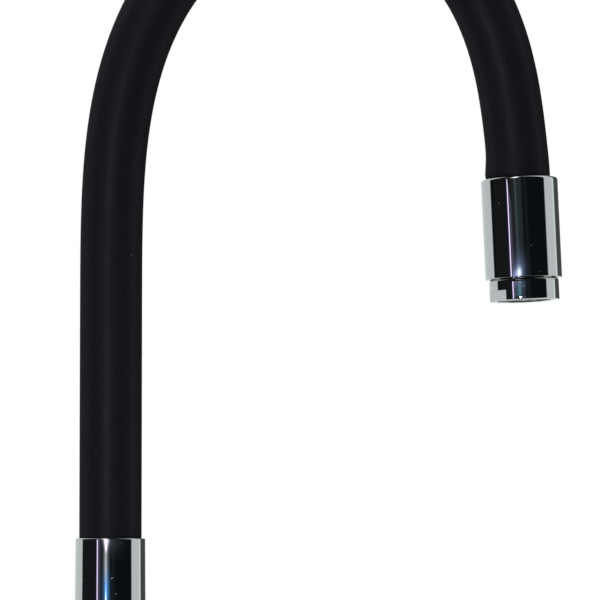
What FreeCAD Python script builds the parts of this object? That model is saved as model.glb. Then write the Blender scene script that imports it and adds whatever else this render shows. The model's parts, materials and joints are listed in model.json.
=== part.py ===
"""A single-lever kitchen faucet with a rubber-covered gooseneck spout, as separate solids.

Millimetres. +Z is up, and the origin is on the faucet's axis, at the underside of its base
gasket, where it stands on the sink. +X is the way the spout reaches, and +Y is the lever's side.
Three frames are used besides this one:
- the hose's centreline, by its length from the lower ferrule's rim, as Route gives it
- the outlet's frame, whose Z runs down the outlet's leaning axis from the upper ferrule's mouth
- the cartridge's frame, whose Z points out of the side boss, whose X is up and whose Y is +X
"""

import FreeCAD, Part

import math
import os

V = FreeCAD.Vector
OUT = "parts"

# Fits
slip = 0.05  # radial gap between turned pieces that screw or push together
running = 0.1  # radial gap between pieces that turn in each other
cover_gap = 0.15  # radial gap between a cover and what it covers
face_gap = 0.3  # gap between the ends of pieces that don't seat on each other
past = 1.0  # how far a cutting shape reaches past the face that it opens

# Hose, from its outside to its bore
hose_diameter = 22.7
sleeve_wall = 2.1
coil_wire_diameter = 2.4
water_hose_clearance = 0.35
water_hose_wall = 1.8
barb_wall = 1.35
crimp_wall = 0.9
connector_wall = 2.15  # wall of the cups that hold the coil's ends

# Centreline of the hose, between the rims of the two ferrules
riser_straight = 85.0  # straight stretch above the lower ferrule
bend_length = 319.8  # stretch that arches over
bend_turn = 174.2  # degrees that the arch turns
bend_skew = 1.45  # over 1 puts the tightest part of the arch nearer the outlet
bend_arcs = 27  # tangent arcs that make up the arch
mouth_length = 8.9  # last short arc, into the upper ferrule
outlet_lean = 2.5  # degrees that the outlet's axis leans outwards

# Gooseneck winding, in sections that articulate, bending and swaying in turn
coil_sections = 12
turns_per_section = 6.75  # the odd quarter turns the wire's ends from one bending axis to the next
points_per_turn = 12
coil_end_gap = 0.5  # between the wire ends of two sections
lower_crimp_gap = 4.0  # between the winding's end and the band on the lower barb
upper_crimp_gap = 3.1

# Lower ferrule and the swivel connector under it
ferrule_wall = 1.2
ferrule_length = 55.5
ferrule_flare = 0.4  # how much wider it is at its foot
rim_round = 0.45
sleeve_depth_lower = 11.5  # how far the sleeve goes into the lower ferrule
connector_web = 5.5
barb_length = 18.0
crimp_length = 14.0
swivel_radius = 10.5
swivel_length = 33.0
waterway_radius = 6.0
o_ring_section = 1.84
o_ring_lower = 6.0  # from the spigot's foot to the lower groove's middle
o_ring_upper = 23.0
groove_width = 2.6
groove_seat = 0.02  # gap under an O-ring in its groove
keeper_groove_depth = 1.5
keeper_groove_width = 5.0
keeper_groove_height = 14.5  # from the spigot's foot to the keeper groove's middle
slip_ring_thickness = 1.5
collar_height = 5.0
collar_radius = 16.2
collar_round = 0.8

# Outlet, by distance down its axis from the mouth of the upper ferrule
outlet_ferrule_length = 36.6
outlet_ferrule_wall = 1.6
outlet_lip = 2.2
outlet_round = 0.9
sleeve_depth_upper = 8.0
outlet_web_top = 22.0
outlet_web = 5.0
outlet_barb_length = 10.0
outlet_crimp_length = 8.0
socket_radius = 11.46  # M24x1 female thread, at its crests
socket_wall = 0.9
aerator_gasket_thickness = 1.5
aerator_gasket_bore = 8.0
shell_gap = 0.4  # seen between the ferrule and the aerator's shell
shell_radius = 12.7
shell_height = 7.7
shell_neck_wall = 0.9  # wall of its threaded neck
shell_lip = 0.7
shell_chamfer = 0.8
shell_round = 0.5
flats_across = 22.0
flats_height = 3.75
flats_angle = -25.0  # degrees about the outlet's axis
insert_screen_thickness = 0.8
insert_wall = 1.2
insert_rib = 0.9
insert_rings = 3
insert_spokes = 8
insert_grid_height = 3.0

# Body
body_radius = 22.5
body_foot = 2.0
shoulder_height = 9.0
shoulder_radius = 17.0
shoulder_round = 3.8
gasket_bore_gap = 1.0  # between the gasket and the shank
gasket_inset = 1.0  # how far the gasket stays inside the flange's rim
flange_reach = 4.5  # how far the flange stands out from the body
flange_rim = 2.6
flange_height = 6.0
flange_land = 0.9
swivel_end_gap = 1.0  # below the spigot, in its bore
swivel_web = 4.4  # between the cartridge's seat and the swivel's bore

# Side boss and cartridge, by distance out along the boss's axis
boss_height = 62.0
boss_rim = 3.0  # how far the boss reaches past the cartridge's nut
seat_floor = -6.0
cartridge_radius = 17.4
cartridge_gap = 0.2
nut_seat = 18.0
nut_overlap = 2.5  # how much wider the nut is than the cartridge
nut_height = 7.0
nut_bore_radius = 14.7
nut_slots = 6
nut_slot_width = 3.0
nut_slot_depth = 2.5
base_thickness = 4.0
seal_depth = 1.5
seal_width = 1.1
disc_thickness = 4.0
fixed_disc_gap = 0.6  # round the fixed disc, in the housing
moving_disc_room = 2.6  # round the moving disc, for its slide
moving_disc_thickness = 4.5
mixing_depth = 2.5
mixing_radius = 5.2
carriage_thickness = 5.5
carriage_step = 0.2  # how much smaller than the disc its carriage is
housing_wall = 2.2
housing_neck_length = 6.0
rotor_radius = 12.3
rotor_flange_gap = 1.2  # round the rotor's flange, in the housing
rotor_flange_thickness = 1.8
rotor_height = 11.8
rib_width = 6.0
rib_height = 2.0
rib_inner = 6.0
rib_outer = 10.6
inlet_port_up = 4.0
inlet_port_side = 6.8
inlet_port_radius = 2.4
outlet_port_up = -2.5
outlet_port_radius = 3.0
pivot_rise = 4.9  # from the rotor's foot to the lever's pivot
pivot_pin_radius = 1.5
pivot_pin_length = 21.0
stem_width = 7.0
stem_cover = 3.0  # how much longer than the stem the hub is, above the pivot
stem_socket_gap = 0.05
stem_slot_gap = 0.3
stem_slot_half_length = 5.8
stem_below = 3.0
ball_reach = 7.5  # from the pivot to the ball's centre
ball_radius = 3.0
ball_gap = 0.15
neck_radius = 2.0

# Lever
half_lift = 12.5  # degrees that the stem leans from the boss's axis, either way
dome_overhang = 0.6  # how much wider than the nut the dome's edge is
dome_wall = 1.5
dome_opening = 11.5
dome_skirt_gap = 0.4  # between the dome's skirt and the nut
dome_skirt_wall = 1.2
hub_clearance = 0.7
hub_radius = 21.0
hub_height = 33.0  # from the lever's pivot
hub_rim_gap = 1.0
hub_round = 3.0
rod_drop = 7.0  # from the hub's top to the rod's axis
rod_lean = 6.0
rod_radius = 4.5
rod_tip_radius = 3.7
rod_length = 86.0
rod_seat_depth = 1.2
rod_spigot_radius = 2.5
rod_spigot_length = 8.0
rod_tip_round = 2.2
set_screw_radius = 2.5
set_screw_length = 8.0
set_screw_drop = 3.0  # from the stem's end to the screw's axis
hex_key_flats = 2.5
hex_key_depth = 2.5
plug_radius = 3.4
plug_thickness = 2.0
plug_recess = 0.2

# Waterways in the body
inlet_radius = 4.46  # M10x1 female thread, at its crests
inlet_length = 12.0
inlet_side = 6.5
inlet_back = 5.0
passage_radius = 2.5
mixed_passage_radius = 2.8
passage_back = 10.0
passage_overlap = 2.3  # how far a passage reaches down beside the end of its inlet

# Under the sink
shank_radius = 16.0
shank_wall = 2.5
shank_engaged = 18.0
shank_below = 52.0
shank_chamfer = 1.0
deck_thickness = 20.0
washer_radius = 25.0
rubber_washer_thickness = 3.0
steel_washer_thickness = 2.0
shank_nut_height = 9.0
shank_nut_flats = 41.0
nut_bevel = 30.0  # degrees
keeper_screw_radius = 2.5
keeper_screw_recess = 1.0
keeper_tip_radius = 2.0
keeper_tip_gap = 0.3

# Worked out from the sizes above
hose_radius = hose_diameter / 2
sleeve_bore = hose_radius - sleeve_wall
coil_radius = sleeve_bore - cover_gap - coil_wire_diameter / 2
water_hose_radius = coil_radius - coil_wire_diameter / 2 - water_hose_clearance
water_hose_bore = water_hose_radius - water_hose_wall
barb_radius = water_hose_bore - slip
barb_bore = barb_radius - barb_wall
cup_bore = coil_radius + coil_wire_diameter / 2 + running
cup_radius = cup_bore + connector_wall
ferrule_bore = max(hose_radius, cup_radius) + cover_gap
ferrule_radius = ferrule_bore + ferrule_wall
lower_coil_depth = ferrule_length - connector_web - (barb_length + crimp_length) / 2 - lower_crimp_gap
swivel_bore_foot = boss_height + cartridge_radius + cartridge_gap + swivel_web
spigot_foot = swivel_bore_foot + swivel_end_gap
body_top = spigot_foot + swivel_length
collar_foot = body_top + slip_ring_thickness
ferrule_foot = collar_foot + collar_height
hose_start = ferrule_foot + ferrule_length
swivel_bore = swivel_radius + running
groove_radius = swivel_bore - slip - o_ring_section - groove_seat
mouth_turn = 180 - outlet_lean - bend_turn
upper_coil_depth = outlet_web_top - face_gap - outlet_crimp_length - upper_crimp_gap
socket_top = outlet_web_top + outlet_web
outlet_bore = max(socket_radius + socket_wall + slip, hose_radius + cover_gap)
socket_outer = outlet_bore - slip
outlet_radius = outlet_bore + outlet_ferrule_wall
shell_top = outlet_ferrule_length + shell_gap
shell_foot = shell_top + shell_height
shell_thread = socket_radius - slip
shell_bore = shell_thread - shell_neck_wall
insert_radius = shell_bore - cover_gap
insert_bore = insert_radius - insert_wall
screen_top = socket_top + aerator_gasket_thickness
moving_disc_foot = seat_floor + base_thickness + disc_thickness
carriage_foot = moving_disc_foot + moving_disc_thickness
rotor_foot = carriage_foot + carriage_thickness + 2 * slip
rotor_top = rotor_foot + rotor_height
pivot_out = rotor_foot + pivot_rise  # the lever's pivot, out along the boss
nut_radius = cartridge_radius + nut_overlap
nut_top = nut_seat + nut_height
boss_end = nut_top + boss_rim
housing_bore = cartridge_radius - housing_wall
fixed_disc_radius = housing_bore - fixed_disc_gap
moving_disc_radius = housing_bore - moving_disc_room
carriage_radius = moving_disc_radius - carriage_step
rotor_flange_radius = housing_bore - rotor_flange_gap
dome_edge = nut_radius + dome_overhang
dome_radius = math.hypot(dome_edge, boss_end - pivot_out)
hub_bore = dome_radius + hub_clearance
hub_end = pivot_out + hub_height
rod_out = hub_end - rod_drop
stem_length = hub_height - stem_cover
set_screw_along = stem_length - set_screw_drop
disc_rest = -ball_reach * math.sin(math.radians(half_lift))
plug_height = set_screw_along * math.sin(math.radians(half_lift))
plug_face = math.sqrt(hub_radius**2 - (plug_height + plug_radius) ** 2) - plug_recess
plug_foot = plug_face - plug_thickness
washer_top = -deck_thickness
steel_washer_top = washer_top - rubber_washer_thickness
shank_nut_top = steel_washer_top - steel_washer_thickness
shank_bore = shank_radius - shank_wall
shank_ceiling = body_foot + shank_engaged + face_gap
inlet_end = shank_ceiling + inlet_length
flange_radius = body_radius + flange_reach
gasket_radius = flange_radius - gasket_inset


def rounded_outline(points, rounds):
    """Edges of a closed outline in the XZ plane, with the corners named in rounds made round."""
    corners = [V(r, 0, z) for r, z in points]
    count = len(corners)
    starts, ends, arcs = {}, {}, {}
    for i, corner in enumerate(corners):
        starts[i] = ends[i] = corner
        if i not in rounds:
            continue
        back = (corners[i - 1] - corner).normalize()
        ahead = (corners[(i + 1) % count] - corner).normalize()
        half = back.getAngle(ahead) / 2
        middle = (back + ahead).normalize()
        reach = rounds[i] / math.tan(half)
        centre = corner + middle * (rounds[i] / math.sin(half))
        ends[i] = corner + back * reach
        starts[i] = corner + ahead * reach
        arcs[i] = Part.Arc(ends[i], centre - middle * rounds[i], starts[i]).toShape()
    edges = []
    for i in range(count):
        if i in arcs:
            edges.append(arcs[i])
        ahead = ends[(i + 1) % count]
        if starts[i].distanceToPoint(ahead) > 1e-7:
            edges.append(Part.LineSegment(starts[i], ahead).toShape())
    return edges


def turned(points, rounds=None):
    """Solid turned about Z from a closed outline of (radius, height) corners."""
    wire = Part.Wire(Part.__sortEdges__(rounded_outline(points, rounds or {})))
    return Part.Face(wire).revolve(V(0, 0, 0), V(0, 0, 1), 360)


def tube(inner, outer, low, high):
    """Plain tube about Z."""
    return turned([(inner, low), (outer, low), (outer, high), (inner, high)])


def rod(radius, low, high, x=0.0, y=0.0):
    """Plain round bar along Z."""
    return Part.makeCylinder(radius, high - low, V(x, y, low))


def box(x_low, x_high, y_low, y_high, z_low, z_high):
    """Box between two corners."""
    return Part.makeBox(x_high - x_low, y_high - y_low, z_high - z_low, V(x_low, y_low, z_low))


def hexagon(flats, low, high):
    """Hexagonal bar along Z."""
    corner = flats / 2 / math.cos(math.pi / 6)
    points = [
        V(corner * math.cos(k * math.pi / 3), corner * math.sin(k * math.pi / 3), low)
        for k in range(7)
    ]
    return Part.Face(Part.makePolygon(points)).extrude(V(0, 0, high - low))


def placed(shape, point, rotation):
    """Copy of a shape, turned and then moved."""
    copy = shape.copy()
    copy.Placement = FreeCAD.Placement(point, rotation).multiply(copy.Placement)
    return copy


def at_boss(shape):
    """From the cartridge's frame to the faucet's: X goes up, Y forwards and Z out of the boss."""
    return placed(shape, V(0, 0, boss_height), FreeCAD.Rotation(V(1, 1, 1), -120))


def along_stem(shape):
    """From a frame along the lever's stem, with its origin at the pivot, to the faucet's frame."""
    lean = FreeCAD.Rotation(V(0, 1, 0), half_lift)
    return at_boss(placed(shape, V(0, 0, pivot_out), lean))


def at_rod(shape):
    """From a frame whose Z runs up the lever's rod, from its seat, to the faucet's frame."""
    upright = FreeCAD.Rotation(V(0, 1, 0), 90 - rod_lean)
    return at_boss(placed(shape, V(hub_radius - rod_seat_depth, 0, rod_out), upright))


class Route:
    """Centreline of the hose in the XZ plane: a straight riser, then short tangent arcs."""

    def __init__(self):
        shares = [
            math.sin(math.pi * ((i + 0.5) / bend_arcs) ** bend_skew) for i in range(bend_arcs)
        ]
        whole = sum(shares)
        self.pieces = [(riser_straight, 0.0)]
        self.pieces += [(bend_length / bend_arcs, bend_turn * s / whole) for s in shares]
        self.pieces.append((mouth_length, mouth_turn))
        self.length = sum(length for length, _ in self.pieces)

    def at(self, s):
        """Point and heading, in degrees from +Z towards +X, at a length along the hose.

        Beyond its ends the line goes straight on."""
        x, z, heading = 0.0, hose_start, 0.0
        if s <= 0:
            return V(x, 0, z + s), heading
        for length, turn in self.pieces:
            step = min(s, length)
            part_turn = turn * step / length
            chord = step
            if turn:
                half = math.radians(part_turn) / 2
                chord = step * math.sin(half) / half
            middle = math.radians(heading + part_turn / 2)
            x += chord * math.sin(middle)
            z += chord * math.cos(middle)
            heading += part_turn
            s -= step
            if s <= 1e-9:
                return V(x, 0, z), heading
        ahead = math.radians(heading)
        return V(x + s * math.sin(ahead), 0, z + s * math.cos(ahead)), heading

    def wire(self, before, after):
        """The line as an OpenCascade wire, with straight stretches added at its two ends."""
        edges = [Part.LineSegment(self.at(-before)[0], self.at(riser_straight)[0]).toShape()]
        s = riser_straight
        for length, _ in self.pieces[1:]:
            ends = (self.at(s)[0], self.at(s + length / 2)[0], self.at(s + length)[0])
            edges.append(Part.Arc(*ends).toShape())
            s += length
        edges.append(Part.LineSegment(self.at(s)[0], self.at(s + after)[0]).toShape())
        return Part.Wire(edges)

    def hinge(self, k):
        """Length along the hose of the k-th place where two sections of the winding meet."""
        return self.length * k / coil_sections


route = Route()


def at_outlet(shape):
    """From the outlet's frame to the faucet's: Z runs down the outlet's axis from the mouth."""
    point, heading = route.at(route.length)
    return placed(shape, point, FreeCAD.Rotation(V(0, 1, 0), heading))


def swept_tube(inner, outer, before, after):
    """Tube along the hose's centreline, past the two rims by the lengths given."""
    wire = route.wire(before, after)
    start = route.at(-before)[0]

    def filled(radius):
        circle = Part.Wire(Part.makeCircle(radius, start, V(0, 0, 1)))
        return wire.makePipeShell([circle], True, False)

    return filled(outer).cut(filled(inner))


def spout_sleeve():
    """Black rubber cover of the gooseneck."""
    return swept_tube(sleeve_bore, hose_radius, sleeve_depth_lower, sleeve_depth_upper)


def water_hose():
    """Hose that carries the water, pushed on a barb at each end."""
    before = ferrule_length - connector_web - face_gap
    after = outlet_web_top - face_gap
    return swept_tube(water_hose_bore, water_hose_radius, before, after)


def coil_section(index):
    """One articulating section of the steel gooseneck winding, with its wire cut at its ends."""
    pitch = route.length / coil_sections / turns_per_section
    first = route.hinge(index) if index else -lower_coil_depth
    last = route.hinge(index + 1)
    if index == coil_sections - 1:
        last = route.length + upper_coil_depth
    trim = coil_end_gap / 2 / (2 * math.pi * coil_radius) * pitch
    first, last = first + trim, last - trim
    count = int((last - first) / pitch * points_per_turn)
    points = []
    for i in range(count + 1):
        s = first + (last - first) * i / count
        point, heading = route.at(s)
        phase = 2 * math.pi * s / pitch
        lean = math.radians(heading)
        inwards = V(math.cos(lean), 0, -math.sin(lean))
        side = V(0, math.sin(phase), 0)
        points.append(point + (inwards * math.cos(phase) + side) * coil_radius)
    curve = Part.BSplineCurve()
    curve.interpolate(points)
    ahead = curve.tangent(curve.FirstParameter)[0]
    circle = Part.Wire(Part.makeCircle(coil_wire_diameter / 2, points[0], ahead))
    return Part.Wire(curve.toShape()).makePipeShell([circle], True, True)


def lower_ferrule():
    """Chrome sleeve over the hose's lower end."""
    foot, rim = ferrule_foot, hose_start
    points = [
        (ferrule_bore, foot),
        (ferrule_radius + ferrule_flare, foot),
        (ferrule_radius, rim),
        (ferrule_bore, rim),
    ]
    return turned(points, {1: rim_round, 2: rim_round, 3: rim_round / 2})


def swivel_connector():
    """Brass piece that turns in the body: its spigot below, and a cup for the winding above."""
    web_top = ferrule_foot + connector_web
    cup_top = hose_start - sleeve_depth_lower - face_gap
    points = [
        (waterway_radius, spigot_foot),
        (swivel_radius, spigot_foot),
        (swivel_radius, collar_foot),
        (cup_radius, collar_foot),
        (cup_radius, cup_top),
        (cup_bore, cup_top),
        (cup_bore, web_top),
        (barb_radius, web_top),
        (barb_radius, web_top + barb_length),
        (barb_bore, web_top + barb_length),
        (barb_bore, ferrule_foot),
        (waterway_radius, ferrule_foot),
    ]
    piece = turned(points)
    for height in (o_ring_lower, o_ring_upper):
        middle = spigot_foot + height
        low, high = middle - groove_width / 2, middle + groove_width / 2
        piece = piece.cut(tube(groove_radius, swivel_bore, low, high))
    middle = spigot_foot + keeper_groove_height
    low, high = middle - keeper_groove_width / 2, middle + keeper_groove_width / 2
    return piece.cut(tube(swivel_radius - keeper_groove_depth, swivel_bore, low, high))


def swivel_o_rings():
    """The two rings that seal the swivel."""
    ring_radius = groove_radius + groove_seat + o_ring_section / 2
    rings = [
        Part.makeTorus(ring_radius, o_ring_section / 2, V(0, 0, spigot_foot + height))
        for height in (o_ring_lower, o_ring_upper)
    ]
    return Part.makeCompound(rings)


def slip_ring():
    """Plastic ring that the spout turns on."""
    return tube(swivel_radius + cover_gap, collar_radius - slip, body_top, collar_foot)


def swivel_collar():
    """Chrome ring between the body and the lower ferrule."""
    bore = cup_radius + slip
    points = [
        (bore, collar_foot),
        (collar_radius, collar_foot),
        (collar_radius, ferrule_foot),
        (bore, ferrule_foot),
    ]
    return turned(points, {1: collar_round / 2, 2: collar_round})


def lower_crimp():
    """Steel band that holds the water hose on the lower barb."""
    low = ferrule_foot + connector_web + (barb_length - crimp_length) / 2
    inner = water_hose_radius + slip
    return tube(inner, inner + crimp_wall, low, low + crimp_length)


def outlet_ferrule():
    """Chrome sleeve over the hose's outlet end, with a lip round the hose."""
    lip_bore = hose_radius + cover_gap
    points = [
        (lip_bore, 0),
        (outlet_radius, 0),
        (outlet_radius, outlet_ferrule_length),
        (outlet_bore, outlet_ferrule_length),
        (outlet_bore, outlet_lip),
        (lip_bore, outlet_lip),
    ]
    return at_outlet(turned(points, {1: outlet_round, 2: rim_round}))


def outlet_connector():
    """Brass piece in the upper ferrule: cup and barb above, threaded socket below."""
    cup_top = sleeve_depth_upper + face_gap
    barb_top = outlet_web_top - outlet_barb_length
    foot = outlet_ferrule_length - face_gap
    points = [
        (cup_bore, cup_top),
        (socket_outer, cup_top),
        (socket_outer, foot),
        (socket_radius, foot),
        (socket_radius, socket_top),
        (barb_bore, socket_top),
        (barb_bore, barb_top),
        (barb_radius, barb_top),
        (barb_radius, outlet_web_top),
        (cup_bore, outlet_web_top),
    ]
    return at_outlet(turned(points))


def upper_crimp():
    """Steel band that holds the water hose on the upper barb."""
    high = outlet_web_top - face_gap
    inner = water_hose_radius + slip
    return at_outlet(tube(inner, inner + crimp_wall, high - outlet_crimp_length, high))


def aerator_gasket():
    """Flat rubber washer over the aerator."""
    outer = socket_radius - cover_gap
    return at_outlet(tube(aerator_gasket_bore, outer, socket_top, screen_top))


def aerator_shell():
    """Chrome shell that screws into the outlet, with two flats for a wrench."""
    lip_bore = insert_radius - shell_lip
    points = [
        (shell_bore, screen_top),
        (shell_thread, screen_top),
        (shell_thread, shell_top),
        (shell_radius, shell_top),
        (shell_radius, shell_foot),
        (lip_bore, shell_foot),
        (lip_bore, shell_foot - shell_lip),
        (shell_bore, shell_foot - shell_lip),
    ]
    piece = turned(points, {3: shell_chamfer, 4: shell_round, 5: shell_lip / 2})
    reach = shell_radius + past
    low, high = shell_foot - flats_height, shell_foot + past
    cheek = box(flats_across / 2, reach, -reach, reach, low, high)
    for angle in (flats_angle, flats_angle + 180):
        piece = piece.cut(placed(cheek, V(0, 0, 0), FreeCAD.Rotation(V(0, 0, 1), angle)))
    return at_outlet(piece)


def aerator_screen():
    """Fine strainer on top of the insert, as a disc."""
    return at_outlet(rod(insert_radius, screen_top, screen_top + insert_screen_thickness))


def aerator_insert():
    """Plastic jet insert: a tube with rings and spokes across its foot."""
    top = screen_top + insert_screen_thickness
    foot = shell_foot - shell_lip
    piece = tube(insert_bore, insert_radius, top, foot)
    grid_top = foot - insert_grid_height
    spacing = insert_bore / (insert_rings + 1)
    half = insert_rib / 2
    parts = [rod(insert_rib, grid_top, foot)]
    for ring in range(1, insert_rings + 1):
        middle = spacing * ring
        parts.append(tube(middle - half, middle + half, grid_top, foot))
    reach = insert_bore + insert_wall / 2
    bar = box(-reach, reach, -half, half, grid_top, foot)
    for spoke in range(insert_spokes // 2):
        turn = FreeCAD.Rotation(V(0, 0, 1), 360 * spoke / insert_spokes)
        parts.append(placed(bar, V(0, 0, 0), turn))
    return at_outlet(piece.fuse(parts).removeSplitter())


def port_cuts(wider, low, high):
    """The cartridge's two inlet ports and its outlet port, as bars in the cartridge's frame."""
    bars = [rod(outlet_port_radius + wider, low, high, outlet_port_up)]
    for side in (inlet_port_side, -inlet_port_side):
        bars.append(rod(inlet_port_radius + wider, low, high, inlet_port_up, side))
    return bars


def body_shell():
    """Brass body: the column with its side boss, the cartridge's seat and the waterways."""
    points = [
        (0, body_foot),
        (body_radius, body_foot),
        (body_radius, body_top - shoulder_height),
        (shoulder_radius, body_top),
        (0, body_top),
    ]
    column = turned(points, {2: shoulder_round, 3: rim_round})
    outline = [(0, 0), (body_radius, 0), (body_radius, boss_end), (0, boss_end)]
    piece = column.fuse(at_boss(turned(outline, {2: rim_round}))).removeSplitter()
    cuts = [
        rod(shank_radius + slip, body_foot - past, shank_ceiling),
        rod(swivel_bore, swivel_bore_foot, body_top + past),
        at_boss(rod(cartridge_radius + cartridge_gap, seat_floor, nut_seat)),
        at_boss(rod(nut_radius + slip, nut_seat, boss_end + past)),
    ]
    for side in (inlet_side, -inlet_side):
        cuts.append(rod(inlet_radius, shank_ceiling - past, inlet_end, side, -inlet_back))
    low = inlet_end - passage_overlap
    high = boss_height + inlet_port_up + passage_radius
    for side in (inlet_port_side, -inlet_port_side):
        cuts.append(rod(passage_radius, low, high, side, -passage_back))
    low = boss_height + outlet_port_up - mixed_passage_radius
    high = swivel_bore_foot + mixed_passage_radius
    cuts.append(rod(mixed_passage_radius, low, high, 0, -passage_back))
    ports = port_cuts(0, -passage_back, seat_floor + past)
    cuts += [at_boss(port) for port in ports]
    cuts.append(at_keeper(rod(keeper_screw_radius, 0, body_radius + past)))
    return piece.cut(cuts)


def at_keeper(shape):
    """From the keeper screw's frame to the faucet's: Z points out of the back of the body."""
    height = spigot_foot + keeper_groove_height
    return placed(shape, V(0, 0, height), FreeCAD.Rotation(V(0, 1, 0), -90))


def keeper_screw():
    """Grub screw in the back of the body, whose tip keeps the swivel in."""
    tip = swivel_radius - keeper_groove_depth + keeper_tip_gap
    shoulder = swivel_bore + cover_gap
    head = body_radius - keeper_screw_recess
    points = [
        (0, tip),
        (keeper_tip_radius, tip),
        (keeper_tip_radius, shoulder),
        (keeper_screw_radius, shoulder),
        (keeper_screw_radius, head),
        (0, head),
    ]
    return at_keeper(turned(points).cut(hexagon(hex_key_flats, head - hex_key_depth, head + past)))


def base_flange():
    """Chrome ring round the body's foot."""
    bore = body_radius + slip
    top = body_foot + flange_height
    points = [
        (bore, body_foot),
        (flange_radius, body_foot),
        (flange_radius, body_foot + flange_rim),
        (bore + flange_land, top),
        (bore, top),
    ]
    return turned(points, {2: rim_round * 2, 3: rim_round})


def base_gasket():
    """Rubber gasket that the faucet stands on."""
    return tube(shank_radius + gasket_bore_gap, gasket_radius, 0, body_foot)


def mounting_shank():
    """Hollow threaded shank, screwed into the body. The supply hoses pass through it."""
    top = body_foot + shank_engaged
    points = [
        (shank_bore, -shank_below),
        (shank_radius - shank_chamfer, -shank_below),
        (shank_radius, -shank_below + shank_chamfer),
        (shank_radius, top),
        (shank_bore, top),
    ]
    return turned(points)


def rubber_washer():
    """Rubber washer under the sink."""
    return tube(shank_radius + cover_gap, washer_radius, steel_washer_top, washer_top)


def steel_washer():
    """Steel washer under the rubber one."""
    return tube(shank_radius + cover_gap, washer_radius, shank_nut_top, steel_washer_top)


def shank_nut():
    """Brass nut that clamps the faucet to the sink."""
    foot = shank_nut_top - shank_nut_height
    flat = shank_nut_flats / 2
    corner = flat / math.cos(math.pi / 6)
    rise = (corner - flat) * math.tan(math.radians(nut_bevel))
    limit = [
        (0, foot),
        (flat, foot),
        (corner, foot + rise),
        (corner, shank_nut_top - rise),
        (flat, shank_nut_top),
        (0, shank_nut_top),
    ]
    bar = hexagon(shank_nut_flats, foot, shank_nut_top).common(turned(limit))
    return bar.cut(rod(shank_radius + slip, foot - past, shank_nut_top + past))


def cartridge_base():
    """Plastic foot of the cartridge, with its three ports and the seats of their seals."""
    top = seat_floor + base_thickness
    piece = rod(cartridge_radius, seat_floor, top)
    seats = port_cuts(seal_width, seat_floor, seat_floor + seal_depth)
    return at_boss(piece.cut(seats + port_cuts(0, seat_floor, top)))


def port_seals():
    """Rubber rings that seal the cartridge's three ports on the body."""
    outer = port_cuts(seal_width - slip, seat_floor, seat_floor + seal_depth)
    inner = port_cuts(0, seat_floor, seat_floor + seal_depth)
    return at_boss(Part.makeCompound([ring.cut(hole) for ring, hole in zip(outer, inner)]))


def fixed_disc():
    """Ceramic disc that stays still on the cartridge's base."""
    low = seat_floor + base_thickness
    high = low + disc_thickness
    return at_boss(rod(fixed_disc_radius, low, high).cut(port_cuts(0, low, high)))


def moving_disc():
    """Ceramic disc that slides and turns on the fixed one, with its mixing chamber below."""
    piece = rod(moving_disc_radius, moving_disc_foot, carriage_foot, disc_rest)
    chamber = rod(mixing_radius, moving_disc_foot, moving_disc_foot + mixing_depth)
    return at_boss(piece.cut(chamber))


def disc_carriage():
    """Plastic block on the moving disc, with the lever's ball in its hole."""
    top = carriage_foot + carriage_thickness
    piece = rod(carriage_radius, carriage_foot, top, disc_rest)
    hole = rod(ball_radius + ball_gap, carriage_foot, top, disc_rest)
    half = rib_width / 2 + running
    reach = carriage_radius * 2
    groove = box(-reach, reach, -half, half, top - rib_height - running, top)
    return at_boss(piece.cut([hole, groove]))


def cartridge_housing():
    """Plastic casing of the cartridge."""
    low = seat_floor + base_thickness
    shelf = rotor_foot + rotor_flange_thickness + running
    top = nut_seat + housing_neck_length
    neck = rotor_radius + running
    points = [
        (housing_bore, low),
        (cartridge_radius, low),
        (cartridge_radius, nut_seat),
        (nut_bore_radius - slip, nut_seat),
        (nut_bore_radius - slip, top),
        (neck, top),
        (neck, shelf),
        (housing_bore, shelf),
    ]
    return at_boss(turned(points, {2: rim_round}))


def stem_rotor():
    """Plastic rotor that holds the lever's pivot and turns the discs with its two ribs."""
    flange = rod(rotor_flange_radius, rotor_foot, rotor_foot + rotor_flange_thickness)
    piece = rod(rotor_radius, rotor_foot, rotor_top).fuse(flange).removeSplitter()
    half = stem_width / 2 + stem_slot_gap
    reach = stem_slot_half_length
    piece = piece.cut(box(-reach, reach, -half, half, rotor_foot - past, rotor_top + past))
    for low, high in ((rib_inner, rib_outer), (-rib_outer, -rib_inner)):
        rib = box(low, high, -rib_width / 2, rib_width / 2, rotor_foot - rib_height, rotor_foot)
        piece = piece.fuse(rib)
    return at_boss(piece).cut(pivot_pin())


def pivot_pin():
    """Steel pin that the lever's stem tilts on."""
    start = V(0, -pivot_pin_length / 2, pivot_out)
    return at_boss(Part.makeCylinder(pivot_pin_radius, pivot_pin_length, start, V(0, 1, 0)))


def lever_stem():
    """Square steel stem of the lever, with a ball at its inner end."""
    half = stem_width / 2
    bar = box(-half, half, -half, half, -stem_below, stem_length)
    neck = rod(neck_radius, -ball_reach, 0)
    ball = Part.makeSphere(ball_radius, V(0, 0, -ball_reach))
    reach = Part.makeCylinder(pivot_pin_radius + slip, stem_width * 2, V(0, -stem_width, 0), V(0, 1, 0))
    return along_stem(bar.fuse([neck, ball]).removeSplitter().cut(reach))


def cartridge_nut():
    """Brass ring that holds the cartridge down, with slots for its key."""
    piece = tube(nut_bore_radius, nut_radius, nut_seat, nut_top)
    middle = (nut_bore_radius + nut_radius) / 2
    half = nut_slot_width / 2
    notch = box(nut_bore_radius - past, middle, -half, half, nut_top - nut_slot_depth, nut_top + past)
    slots = []
    for k in range(nut_slots):
        slots.append(placed(notch, V(0, 0, 0), FreeCAD.Rotation(V(0, 0, 1), 360 * k / nut_slots)))
    return at_boss(piece.cut(slots))


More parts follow.
